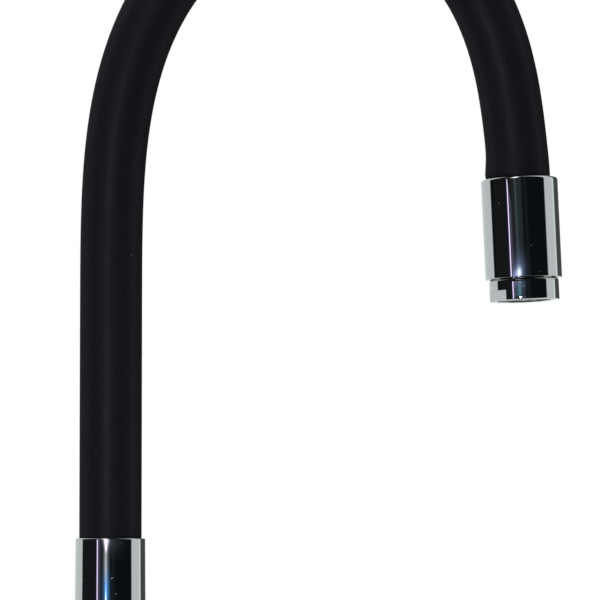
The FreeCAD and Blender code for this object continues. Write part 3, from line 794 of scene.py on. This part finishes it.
@dataclass
class Gooseneck:
    """The flexible spout: rubber cover, winding and water hose, between two ferrules."""

    line: HoseLine = field(default_factory=HoseLine)
    sections: int = 12
    cover: Tube = Tube(
        name="cover",
        node="spout_sleeve",
        slot=Slot.COVER,
        bore=9.25,
        radius=COVER_RADIUS,
        before=11.5,
        after=8.0,
        columns=112,
    )
    hose: Tube = Tube(
        name="inner_hose",
        node="water_hose",
        slot=Slot.WATER_HOSE,
        bore=4.55,
        radius=6.35,
        before=49.7,
        after=21.7,
        columns=40,
    )
    stiff_end: float = 3.2
    step: float = 1.2
    swell: float = 1.0
    swell_length: float = 16.0
    swell_step: float = 0.3

    @property
    def chain(self) -> list[str]:
        """Bodies that the gooseneck's sections belong to, from its foot to its outlet."""
        return ["spout_base", *(f"gooseneck_{k}" for k in range(1, self.sections - 1)), "outlet"]

    def swollen(self, radius: np.ndarray, station: np.ndarray, angle: np.ndarray) -> np.ndarray:
        """Swells the cover on the bend's inner side, where the outlet's ferrule squeezes it.

        The outer wall grows by the swell times the square of sin(pi x the cube root of u), where u
        goes from 0 at the ferrule's rim to 1 at the swell's length above it, times the square of
        the half of 1 + cos(angle).

        Args:
            radius: Radii of the grid.
            station: Stations of its rows.
            angle: Angles of its columns, 0 on the bend's inner side.

        Returns:
            The new radii.
        """
        u = np.clip((self.line.length - station) / self.swell_length, 0, 1)
        grow = self.swell * np.sin(math.pi * np.cbrt(u)) ** 2 * ((1 + np.cos(angle)) / 2) ** 2
        return radius + np.where(radius > self.cover.radius - TOUCH, grow, 0.0)

    def stretch(self, tube: Tube, low: float, high: float) -> Surface:
        """Makes a stretch of a tube.

        Its outline goes up the outer wall, across the end, down the bore and back across.

        Args:
            tube: The tube.
            low: Station where the stretch starts.
            high: Station where it ends.

        Returns:
            Its surface.
        """
        corners = [(tube.bore, low), (tube.radius, low), (tube.radius, high), (tube.bore, high)]
        squeezed = tube is self.cover and high > self.line.length
        outline = Outline.rounded(corners, spacing=self.swell_step if squeezed else self.step)
        shape = self.swollen if squeezed else None
        return Surface.carried(outline, self.line, tube.columns, shape=shape)

    def bending(self, tube: Tube) -> None:
        """Makes a tube of eleven stretches, one over each hinge.

        Stretches meet in the middle of a section, and the first and the last go on into the
        ferrules.

        Args:
            tube: The tube.
        """
        pitch = self.line.length / self.sections
        for k in range(1, self.sections):
            middles = (k - 0.5) * pitch, (k + 0.5) * pitch
            low = -tube.before if k == 1 else middles[0]
            high = self.line.length + tube.after if k == self.sections - 1 else middles[1]
            piece = self.stretch(tube, low, high).make(f"{tube.name}_{k:02d}", tube.slot)
            start = self.line.point(middles[0] + self.stiff_end)
            end = self.line.point(middles[1] - self.stiff_end)
            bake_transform(piece)
            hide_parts(tube.node)

    def build(self, frame: Frame) -> None:
        """Makes the cover and the water hose, and dresses the winding and what holds it.
        """
        self.bending(self.cover)
        self.bending(self.hose)
        coils = tuple(f"gooseneck_coil_{k + 1}" for k in range(self.sections))
        dress_nodes(frame, coils + ("lower_crimp", "upper_crimp"))


@dataclass
class SpoutFoot:
    """What the gooseneck stands on: its lower ferrule, the swivel and its collar."""

    foot: float = 124.5
    rim: float = HoseLine.start
    bore: float = COVER_RADIUS + COVER_CLEARANCE
    radius: float = 12.7
    flare: float = 0.4
    rim_round: float = 0.45
    columns: int = 160

    def ferrule(self) -> Surface:
        """The chrome sleeve, a little wider at its foot than at its rim.

        Returns:
            Its surface.
        """
        corners = [
            (self.bore, self.foot),
            (self.radius + self.flare, self.foot),
            (self.radius, self.rim),
            (self.bore, self.rim),
        ]
        rounds = {1: self.rim_round, 2: self.rim_round, 3: self.rim_round / 2}
        return Surface.carried(Outline.rounded(corners, rounds), StraightLine(), self.columns)

    def build(self, frame: Frame) -> None:
        """Turns the ferrule and dresses the swivel's pieces.
        """
        ferrule = self.ferrule().make("lower_ferrule_turned", Slot.CHROME)
        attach(ferrule, "spout_base")
        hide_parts("lower_ferrule")
        dress_nodes(frame, ("slip_ring", "swivel_connector", "swivel_o_rings", "swivel_collar"))


@dataclass
class Outlet:
    """The outlet's ferrule, and the aerator with its two wrench flats."""

    axis: StraightLine = field(default_factory=lambda: HoseLine().outlet_axis())
    ferrule_length: float = 36.6
    ferrule_radius: float = 14.01
    ferrule_bore: float = 12.41
    ferrule_columns: int = 160
    lip: float = 2.2
    lip_bore: float = COVER_RADIUS + COVER_CLEARANCE
    lip_round: float = 0.9
    rim_round: float = 0.2
    screen_top: float = 28.5
    shell_gap: float = 0.3
    shell_radius: float = 12.7
    shell_height: float = 7.8
    shell_thread: float = 11.41
    shell_bore: float = 10.51
    shell_lip_bore: float = 10.05
    shell_lip: float = 0.7
    shell_chamfer: float = 0.8
    shell_round: float = 0.4
    shell_columns: int = 180
    shell_step: float = 0.6
    flats_across: float = 22.0
    flats_height: float = 3.75
    flats_angle: float = -25.0
    ledge_step: float = 0.001
    least_cosine: float = 0.2

    @property
    def shell_top(self) -> float:
        """Station of the shell's shoulder, just below the ferrule."""
        return self.ferrule_length + self.shell_gap

    @property
    def ledge(self) -> float:
        """Station where the flats start."""
        return self.shell_top + self.shell_height - self.flats_height

    def ferrule(self) -> Surface:
        """The chrome sleeve, with a lip round the hose at its top.

        Returns:
            Its surface.
        """
        corners = [
            (self.lip_bore, 0),
            (self.ferrule_radius, 0),
            (self.ferrule_radius, self.ferrule_length),
            (self.ferrule_bore, self.ferrule_length),
            (self.ferrule_bore, self.lip),
            (self.lip_bore, self.lip),
        ]
        outline = Outline.rounded(corners, {1: self.lip_round, 2: self.rim_round})
        return Surface.carried(outline, self.axis, self.ferrule_columns)

    def flattened(self, radius: np.ndarray, station: np.ndarray, angle: np.ndarray) -> np.ndarray:
        """Cuts the two flats into the shell.

        Below the ledge, a radius is at most half of the size across flats divided by the cosine
        of the angle from the nearer flat's direction.

        Args:
            radius: Radii of the grid.
            station: Stations of its rows.
            angle: Angles of its columns.

        Returns:
            The new radii.
        """
        from_flat = np.abs(np.cos(angle - math.radians(self.flats_angle)))
        limit = self.flats_across / 2 / np.maximum(from_flat, self.least_cosine)
        below = station > self.ledge + self.ledge_step / 2
        return np.where(below, np.minimum(radius, limit), radius)

    def shell(self) -> Surface:
        """The aerator's shell: turned, then cut below its ledge, where two close rows step.

        Returns:
            Its surface.
        """
        foot = self.shell_top + self.shell_height
        corners = [
            (self.shell_bore, self.screen_top),
            (self.shell_thread, self.screen_top),
            (self.shell_thread, self.shell_top),
            (self.shell_radius, self.shell_top),
            (self.shell_radius, self.ledge),
            (self.shell_radius, self.ledge + self.ledge_step),
            (self.shell_radius, foot),
            (self.shell_lip_bore, foot),
            (self.shell_lip_bore, foot - self.shell_lip),
            (self.shell_bore, foot - self.shell_lip),
        ]
        rounds = {3: self.shell_chamfer, 6: self.shell_round, 7: self.shell_lip / 2}
        outline = Outline.rounded(corners, rounds, spacing=self.shell_step)
        half_flat = math.acos(self.flats_across / 2 / self.shell_radius)
        first = math.radians(self.flats_angle) + half_flat
        return Surface.carried(outline, self.axis, self.shell_columns, first, self.flattened)

    def build(self, frame: Frame) -> None:
        """Makes the ferrule and the shell, and dresses what they hold.
        """
        for name, surface, node in (
            ("outlet_ferrule_turned", self.ferrule(), "outlet_ferrule"),
            ("aerator_shell_turned", self.shell(), "aerator_shell"),
        ):
            piece = surface.make(name, Slot.CHROME)
            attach(piece, "outlet")
            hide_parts(node)
        dress_nodes(frame, ("aerator_gasket", "aerator_screen", "aerator_insert"))
        # The connector is painted dull dark brown: painted shade seen through the gap between the
        # ferrule and the shell
        dress_nodes(frame, ("outlet_connector",), SHADE_PAINTED_BRASS)


@dataclass
class Body:
    """The upright body with its side boss, foot ring and gasket."""

    nodes: tuple[str, ...] = (
        "body_shell",
        "base_flange",
        "base_gasket",
        "keeper_screw",
        "dome_cap",
    )

    def build(self, frame: Frame) -> None:
        """Dresses the body's pieces."""
        dress_nodes(frame, self.nodes)


@dataclass
class Cartridge:
    """The mixing cartridge in the boss."""

    nodes: tuple[str, ...] = (
        "cartridge_base",
        "port_seals",
        "fixed_disc",
        "moving_disc",
        "disc_carriage",
        "cartridge_housing",
        "stem_rotor",
        "pivot_pin",
        "cartridge_nut",
    )

    def build(self, frame: Frame) -> None:
        """Dresses the cartridge's pieces."""
        dress_nodes(frame, self.nodes)


@dataclass
class Lever:
    """The lever: stem, hub, rod, set screw and plug."""

    nodes: tuple[str, ...] = (
        "lever_stem",
        "lever_hub",
        "lever_rod",
        "lever_set_screw",
        "index_plug",
    )

    def build(self, frame: Frame) -> None:
        """Dresses the lever's pieces."""
        dress_nodes(frame, self.nodes)


@dataclass
class SinkFixing:
    """The threaded shank under the sink, with its washers and nut."""

    radius: float = 16.0
    bore: float = 13.5
    foot: float = -52.0
    top: float = 20.0
    thread_top: float = -0.6
    chamfer: float = 1.0
    pitch: float = 1.5
    depth: float = 0.92
    flat: float = 0.125
    steps_per_pitch: int = 8
    columns: int = 96

    def threaded(self, radius: np.ndarray, station: np.ndarray, angle: np.ndarray) -> np.ndarray:
        """Cuts the screw thread.

        A radius is at most the crest's less the depth times a triangle wave of the station over
        the pitch less the angle over a full turn. The wave is stretched by its flat at either
        end and cut off at 0 and 1, and the thread fades out at its top.

        Args:
            radius: Radii of the grid.
            station: Stations of its rows.
            angle: Angles of its columns.

        Returns:
            The new radii.
        """
        place = np.mod(station / self.pitch - angle / (2 * math.pi), 1.0)
        wave = np.abs(2 * place - 1)
        cut = np.clip(wave * (1 + 2 * self.flat) - self.flat, 0.0, 1.0)
        fade = np.clip((self.thread_top - station) / self.pitch, 0, 1)
        outside = radius > self.bore + TOUCH
        return np.minimum(radius, self.radius - self.depth * cut * fade * outside)

    def shank(self) -> Surface:
        """The hollow shank, with rows close enough for its thread.

        Returns:
            Its surface.
        """
        corners = [
            (self.bore, self.foot),
            (self.radius - self.chamfer, self.foot),
            (self.radius, self.foot + self.chamfer),
            (self.radius, self.thread_top),
            (self.radius, self.top),
            (self.bore, self.top),
        ]
        outline = Outline.rounded(corners, spacing=self.pitch / self.steps_per_pitch)
        return Surface.carried(outline, StraightLine(), self.columns, shape=self.threaded)

    def build(self, frame: Frame) -> None:
        """Makes the shank and dresses the washers and the nut.
        """
        piece = self.shank().make("mounting_shank_threaded", Slot.BRASS)
        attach(piece, "base")
        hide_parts("mounting_shank")
        dress_nodes(frame, ("rubber_washer", "steel_washer", "shank_nut"))


# Studio


WHITE: Colour = (1.0, 1.0, 1.0)
BLACK: Colour = (0.0, 0.0, 0.0)
PALE: Colour = (0.80, 0.85, 0.86)
GREY: Colour = (0.085, 0.09, 0.092)
DARK_LEFT: Colour = (0.013, 0.014, 0.015)
DARK_FRONT: Colour = (0.03, 0.042, 0.05)
DARK_EDGE: Colour = (0.014, 0.019, 0.022)
DARK_RIGHT: Colour = (0.006, 0.008, 0.009)


@dataclass(frozen=True)
class Spot:
    """A soft spot of light on the room's walls, by its angles and widths in degrees.

    Its slant is how far it climbs for each degree of turn, and it ends at its top.
    """

    at: tuple[float, float]
    width: tuple[float, float]
    light: Colour
    slant: float = 0.0
    top: float = 90.0


@dataclass(frozen=True)
class Cap:
    """Light from above or from below, by angles off the horizon in degrees.

    It starts at one angle on the camera's side and at another at the back, and grows to its full
    light over its fade.
    """

    front: float
    back: float
    fade: float
    light: Colour


@dataclass(frozen=True)
class Lamp:
    """A round lamp, with its width in metres and its power in watts."""

    name: str
    at: Point
    width: float
    power: float
    mirrored: bool


@dataclass
class Studio:
    """A plain pale floor, soft light from all round, and the photo's camera, in metres."""

    eye: Point = (0.06898, -1.460, 0.179)
    middle: Point = (0.07, 0.0, 0.2)
    pitch: float = 3.444
    lens: float = 240.33
    sensor: float = 36.0
    floor_gap: float = 0.0001
    floor_pinhole: float = 0.0001
    floor_inside: float = 0.05
    floor_solid: float = 0.7
    floor_edge: float = 1.5
    floor_rings: int = 24
    floor_columns: int = 96
    floor_paint: Colour = (0.9, 0.9, 0.9)
    side_blend: float = 0.1
    spot_end: float = 0.06
    ceiling: Cap = Cap(front=95.0, back=33.0, fade=18.0, light=(0.93, 0.95, 0.96))
    ground: Cap = Cap(front=95.0, back=8.0, fade=16.0, light=(0.78, 0.8, 0.8))
    lamps: tuple[Lamp, ...] = (
        Lamp("ceiling_lamp", (-0.2, -0.3, 1.8), width=1.6, power=19.0, mirrored=False),
        Lamp("front_lamp", (-0.313, -1.537, 0.26), width=0.09, power=4.9, mirrored=True),
    )
    panels: tuple[tuple[float, Colour], ...] = (
        (-180, PALE),
        (-104, PALE),
        (-101, DARK_LEFT),
        (-24, DARK_LEFT),
        (-19, DARK_FRONT),
        (-2, DARK_FRONT),
        (4, DARK_RIGHT),
        (13, DARK_EDGE),
        (20, DARK_RIGHT),
        (75, DARK_RIGHT),
        (78, PALE),
        (119, PALE),
        (122, GREY),
        (165, GREY),
        (170, PALE),
    )
    spots: tuple[Spot, ...] = (
        # The thin streak down both ferrules and the shell
        Spot((-40.8, 0.0), (0.75, 14.0), (2.7, 2.25, 2.8), top=3.42),
        Spot((-43.0, 0.0), (0.9, 14.0), (0.1, 0.03, 0.36), top=3.42),
        Spot((-36.0, 0.0), (3.0, 14.0), (0.1, 0.1, 0.17), top=3.42),
        # The shine on the ferrules' rims
        Spot((-24.0, 60.0), (6.0, 16.5), (5.0, 5.0, 5.0)),
        # A paler line in the bright bands on the right
        Spot((115.0, 0.0), (2.5, 16.0), (0.2, 0.32, 0.26)),
        # The glow at the foot of the outlet's ferrule, and the tint on the shell below it
        Spot((-16.0, 3.0), (4.2, 0.045), (2.0, 2.2, 2.6), slant=0.043),
        Spot((-28.0, 2.48), (5.0, 0.05), (0.5, 0.55, 0.95), slant=0.043),
        Spot((-16.8, 3.0), (12.0, 0.14), (0.14, 0.18, 0.36), slant=0.043),
        Spot((-16.8, 3.9), (1.2, 0.8), (0.05, 0.09, 0.11)),
        Spot((-20.0, 2.56), (5.0, 0.09), (0.07, 0.26, 0.34), slant=0.043),
        # The glow under the lower ferrule's rim
        Spot((-11.6, 0.89), (5.0, 0.06), (4.5, 3.4, 5.0)),
        Spot((-11.6, 0.77), (2.2, 0.05), (4.5, 3.8, 5.0)),
        Spot((-8.0, 0.88), (9.0, 0.1), (0.09, 0.12, 0.22)),
        Spot((10.0, 0.85), (24.0, 0.14), (0.03, 0.034, 0.038)),
        # The soft white streak down the lower ferrule
        Spot((-12.0, 0.5), (3.5, 0.2), (0.7, 0.7, 0.65)),
        # The blue glow at the photo's foot
        Spot((-11.4, 0.08), (2.0, 0.16), (0.1, 0.75, 2.0)),
        Spot((-11.8, -0.06), (1.3, 0.09), (2.6, 2.6, 3.3)),
        Spot((-13.0, 0.05), (4.8, 0.22), (0.02, 0.09, 0.28)),
        Spot((-5.6, 0.05), (3.5, 0.2), (0.035, 0.15, 0.36)),
        Spot((-12.6, 0.05), (10.0, 0.25), (0.01, 0.06, 0.15)),
    )

    @property
    def floor_height(self) -> float:
        """Height of the floor, just under the shank's foot."""
        return SinkFixing.foot * MM - self.floor_gap

    def camera(self) -> None:
        """Puts the camera where the photo was taken from."""
        data = bpy.data.cameras.new("camera")
        data.lens = self.lens
        data.sensor_width = self.sensor
        camera = bpy.data.objects.new("camera", data)
        camera.location = self.eye
        camera.rotation_euler = (math.radians(90 + self.pitch), 0, 0)
        bpy.context.scene.collection.objects.link(camera)
        bpy.context.scene.camera = camera

    def walls(self, sketch: Sketch, turn: Socket) -> Socket:
        """Makes the upright panels of the room, by their angle from the camera's side.

        Args:
            sketch: The world's nodes.
            turn: Angle from -Y towards +X, in degrees.

        Returns:
            The panels' light.
        """
        inputs = {"Value": turn, "From Min": -180.0, "From Max": 180.0}
        share = sketch.add("ShaderNodeMapRange", inputs).outputs[0]
        ramp = sketch.add("ShaderNodeValToRGB", {0: share})
        elements = ramp.color_ramp.elements
        while len(elements) > 1:
            elements.remove(elements[-1])
        for i, (degrees, colour) in enumerate(self.panels):
            at = (degrees + 180) / 360
            element = elements[0] if i == 0 else elements.new(at)
            element.position = at
            element.color = opaque(colour)
        return ramp.outputs[0]

    def glow(self, sketch: Sketch, turn: Socket, rise: Socket, spot: Spot) -> Socket:
        """Makes a soft spot of light: e to the minus half of the squared distance in widths.

        Args:
            sketch: The world's nodes.
            turn: Angle from -Y towards +X, in degrees.
            rise: Angle above the horizon, in degrees.
            spot: The spot.

        Returns:
            Its light.
        """
        turned = sketch.math("SUBTRACT", turn, spot.at[0])
        risen = sketch.math("SUBTRACT", rise, spot.at[1])
        climbed = sketch.math("SUBTRACT", risen, sketch.math("MULTIPLY", turned, spot.slant))
        parts = []
        for value, size in zip((turned, climbed), spot.width):
            away = sketch.math("DIVIDE", value, size)
            parts.append(sketch.math("MULTIPLY", away, away))
        share = sketch.math("EXPONENT", sketch.math("MULTIPLY", sketch.math("ADD", *parts), -0.5))
        under = sketch.spread(rise, spot.top - self.spot_end, spot.top, 1.0, 0.0)
        share = sketch.math("MULTIPLY", share, under)
        return sketch.blend(share, BLACK, spot.light, clamp_factor=False)

    def capped(self, sketch: Sketch, back: Socket, off: Socket, cap: Cap, room: Socket) -> Socket:
        """Puts light from above or below over the room's light.

        Args:
            sketch: The world's nodes.
            back: The ray's part along Y, from -1 on the camera's side to 1 at the back.
            off: Angle off the horizon, on the light's side, in degrees.
            cap: The light.
            room: The room's light.

        Returns:
            The new light of the room.
        """
        start = sketch.spread(back, -self.side_blend, self.side_blend, cap.front, cap.back)
        past = sketch.math("SUBTRACT", off, start)
        return sketch.blend(sketch.spread(past, 0.0, cap.fade, 0.0, 1.0), room, cap.light)

    def world(self) -> None:
        """Lights the room: pale panels at the back and sides, a dark front, a bright ceiling."""
        world = bpy.data.worlds.new("studio")
        bpy.context.scene.world = world
        world.use_nodes = True
        sketch = Sketch(world.node_tree)
        towards = sketch.add("ShaderNodeTexCoord").outputs["Generated"]
        right, back, up = sketch.add("ShaderNodeSeparateXYZ", {0: towards}).outputs
        front = sketch.math("MULTIPLY", back, -1.0)
        turn = sketch.math("DEGREES", sketch.math("ARCTAN2", right, front))
        rise = sketch.math("DEGREES", sketch.math("ARCSINE", up))
        fall = sketch.math("MULTIPLY", rise, -1.0)
        room = self.walls(sketch, turn)
        room = self.capped(sketch, back, rise, self.ceiling, room)
        room = self.capped(sketch, back, fall, self.ground, room)
        for spot in self.spots:
            lit = self.glow(sketch, turn, rise, spot)
            room = sketch.blend(1.0, room, lit, blend_type="ADD")
        lights = sketch.add("ShaderNodeBackground", {"Color": room})
        behind = sketch.add("ShaderNodeBackground", {"Color": opaque(WHITE)})
        seen = sketch.add("ShaderNodeLightPath").outputs["Is Camera Ray"]
        inputs = {0: seen, 1: lights.outputs[0], 2: behind.outputs[0]}
        mixed = sketch.add("ShaderNodeMixShader", inputs)
        sketch.add("ShaderNodeOutputWorld", {"Surface": mixed.outputs[0]})

    def floor_mesh(self) -> bpy.types.Mesh:
        """Makes the floor's rings: a ring's radius times the cosine and the sine of the angle.

        Returns:
            The mesh.
        """
        rings = np.linspace(self.floor_inside, self.floor_edge, self.floor_rings)
        radii = np.concatenate([[self.floor_pinhole], rings])[:, None]
        angle = np.arange(self.floor_columns) * 2 * math.pi / self.floor_columns
        x, y = radii * np.cos(angle) + self.middle[0], radii * np.sin(angle)
        points = np.stack([x, y, np.full_like(x, self.floor_height)], axis=2)
        rows, columns = np.arange(self.floor_rings), np.arange(self.floor_columns)
        i, j = np.meshgrid(rows, columns, indexing="ij")
        beside = (j + 1) % self.floor_columns
        near, far = i * self.floor_columns, (i + 1) * self.floor_columns
        faces = np.stack([near + j, far + j, far + beside, near + beside], axis=2)
        mesh = bpy.data.meshes.new("floor")
        mesh.from_pydata(points.reshape(-1, 3).tolist(), [], faces.reshape(-1, 4).tolist())
        return mesh

    def floor(self) -> None:
        """Lays a round floor that fades into the background."""
        mesh = self.floor_mesh()
        material = bpy.data.materials.new("pale_floor")
        material.use_nodes = True
        sketch = Sketch(material.node_tree)
        where = sketch.add("ShaderNodeTexCoord").outputs["Object"]
        length = sketch.add("ShaderNodeVectorMath", {0: where}, operation="LENGTH")
        paint = sketch.add("ShaderNodeBsdfDiffuse", {"Color": opaque(self.floor_paint)})
        clear = sketch.add("ShaderNodeBsdfTransparent")
        away = length.outputs["Value"]
        fade = sketch.spread(away, self.floor_solid, self.floor_edge, 0.0, 1.0)
        inputs = {0: fade, 1: paint.outputs[0], 2: clear.outputs[0]}
        mixed = sketch.add("ShaderNodeMixShader", inputs)
        sketch.add("ShaderNodeOutputMaterial", {"Surface": mixed.outputs[0]})
        mesh.materials.append(material)
        floor = bpy.data.objects.new("floor", mesh)
        floor.visible_glossy = False
        bpy.context.scene.collection.objects.link(floor)

    def hang(self, lamp: Lamp) -> None:
        """Hangs a lamp that points at the middle of the faucet.

        Args:
            lamp: The lamp.
        """
        data = bpy.data.lights.new(lamp.name, "AREA")
        data.shape = "DISK"
        data.size = lamp.width
        data.energy = lamp.power
        light = bpy.data.objects.new(lamp.name, data)
        light.location = lamp.at
        light.rotation_mode = "QUATERNION"
        away = Vector(lamp.at) - Vector(self.middle)
        light.rotation_quaternion = away.to_track_quat("Z", "Y")
        light.visible_glossy = lamp.mirrored
        bpy.context.scene.collection.objects.link(light)

    def build(self) -> None:
        """Makes the camera, the light and the floor."""
        bpy.context.scene.view_settings.view_transform = "Standard"
        self.camera()
        self.world()
        for lamp in self.lamps:
            self.hang(lamp)
        self.floor()
        LOG.info("studio: camera, light and floor")


def main() -> None:
    """Builds the faucet's looks in order."""
    logging.basicConfig(level=logging.INFO, format="%(message)s")
    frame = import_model()
    Studio().build()
    for assembly in (SpoutFoot, Gooseneck, Outlet, Body, Cartridge, Lever, SinkFixing):
        assembly().build(frame)
        LOG.info("%s: done", assembly.__name__)


if __name__ == "__main__":
    main()
